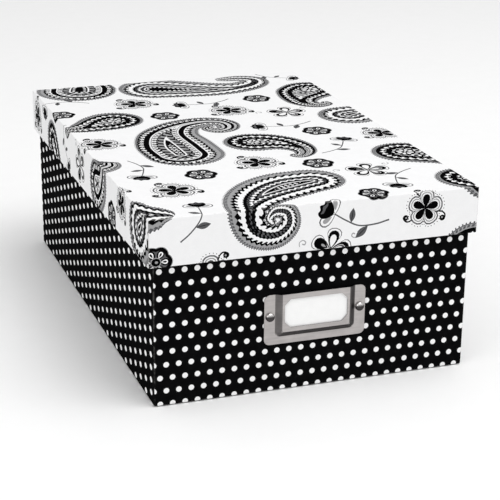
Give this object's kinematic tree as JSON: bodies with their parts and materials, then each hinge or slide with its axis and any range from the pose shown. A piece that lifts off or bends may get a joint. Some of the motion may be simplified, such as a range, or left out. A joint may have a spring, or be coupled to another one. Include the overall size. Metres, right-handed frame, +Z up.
{
  "type": "photo storage box",
  "caption": "Covered board box with a loose telescoping lid, dotted tray, patterned lid and a stamped metal label holder with a blank card.",
  "frame": {"origin": "on the ground under the middle of the box", "axes": "+Z up, +Y along the long side away from the label, +X to the right as the label is read"},
  "size_m": [0.195, 0.294, 0.111],
  "materials": {
    "greyboard": "raw grey-brown fibre board",
    "gummed_tape": "kraft paper tape, matte",
    "base_print": "black printed paper with rows of white dots, satin",
    "lid_print": "white printed paper with black and grey paisleys and flowers, satin",
    "lining_paper": "plain uncoated paper",
    "holder_metal": "dull pewter plate with fine brushing",
    "brad_metal": "polished pewter plate",
    "card_stock": "plain white card"
  },
  "bodies": {
    "base": {"base_board": "greyboard", "base_corner_stay_front_left": "gummed_tape", "base_corner_stay_front_right": "gummed_tape", "base_corner_stay_back_left": "gummed_tape", "base_corner_stay_back_right": "gummed_tape", "base_wrap": "base_print", "base_lining": "lining_paper", "base_underside_sheet": "lining_paper", "label_holder": "holder_metal", "left_brad": "brad_metal", "right_brad": "brad_metal"},
    "lid": {"lid_board": "greyboard", "lid_corner_stay_front_left": "gummed_tape", "lid_corner_stay_front_right": "gummed_tape", "lid_corner_stay_back_left": "gummed_tape", "lid_corner_stay_back_right": "gummed_tape", "lid_wrap": "lid_print", "lid_lining": "lining_paper"},
    "card": {"label_card": "card_stock"}
  },
  "joints": [
    {"name": "lid_lift", "type": "slide", "parent": "base", "child": "lid", "axis": [0, 0, 1], "range_m": [0, 0.15]},
    {"name": "label_card_slide", "type": "slide", "parent": "base", "child": "card", "axis": [0, 0, 1], "range_m": [0, 0.024]}
  ]
}
